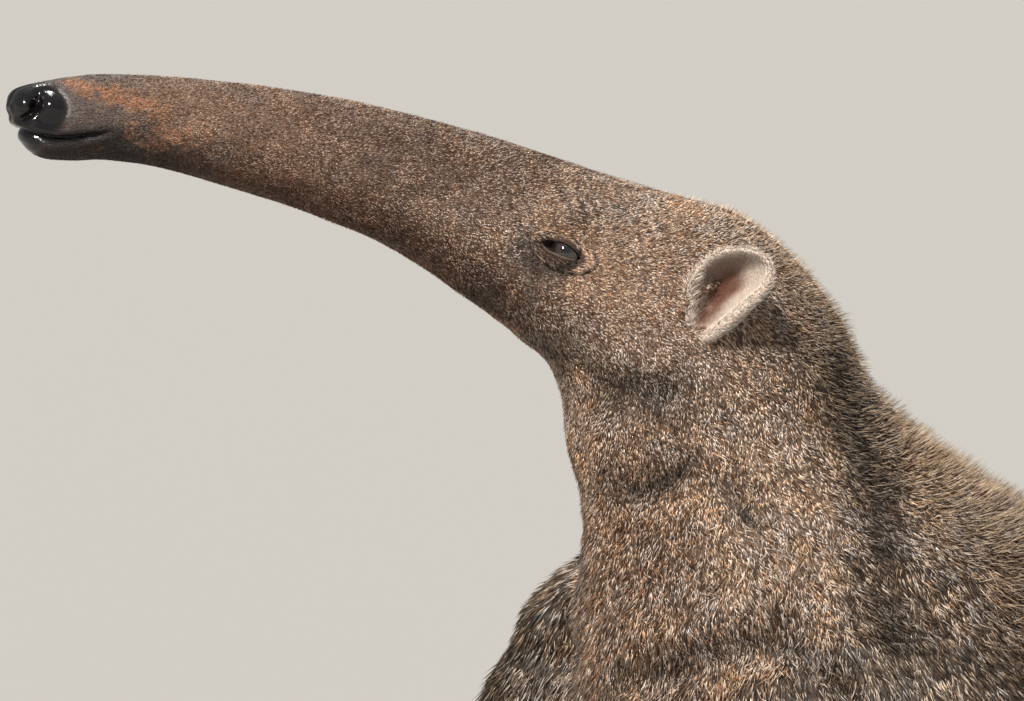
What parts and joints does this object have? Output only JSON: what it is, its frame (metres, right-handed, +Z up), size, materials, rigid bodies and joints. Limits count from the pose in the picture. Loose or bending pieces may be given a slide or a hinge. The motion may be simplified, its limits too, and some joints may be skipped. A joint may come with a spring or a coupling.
{
  "type": "giant anteater",
  "caption": "Still, life-size model of a giant anteater that stands on all fours, its long tapered head raised and a bushy tail behind.",
  "frame": {"origin": "on the floor, under the middle of the animal's bounding box", "axes": "+Z up from the floor, -Y the way the animal faces, +X its own left side"},
  "size_m": [0.3436, 1.9334, 0.7926],
  "materials": {
    "short_coat": "matt",
    "long_coat": "matt",
    "pale_coat": "matt",
    "dark_coat": "matt",
    "claw_horn": "satin",
    "eye": "gloss"
  },
  "bodies": {
    "root": {"claw_fore_left_1": "claw_horn", "claw_fore_left_2": "claw_horn", "claw_fore_left_3": "claw_horn", "claw_fore_right_1": "claw_horn", "claw_fore_right_2": "claw_horn", "claw_fore_right_3": "claw_horn", "claw_hind_left_1": "claw_horn", "claw_hind_left_2": "claw_horn", "claw_hind_left_3": "claw_horn", "claw_hind_left_4": "claw_horn", "claw_hind_left_5": "claw_horn", "claw_hind_right_1": "claw_horn", "claw_hind_right_2": "claw_horn", "claw_hind_right_3": "claw_horn", "claw_hind_right_4": "claw_horn", "claw_hind_right_5": "claw_horn", "ear_left": "short_coat", "ear_right": "short_coat", "eye_left": "eye", "eye_right": "eye", "foreleg_left": "pale_coat", "foreleg_right": "pale_coat", "head": "short_coat", "hind_leg_left": "dark_coat", "hind_leg_right": "dark_coat", "neck": "short_coat", "tail": "long_coat", "torso": "long_coat"}
  },
  "joints": []
}
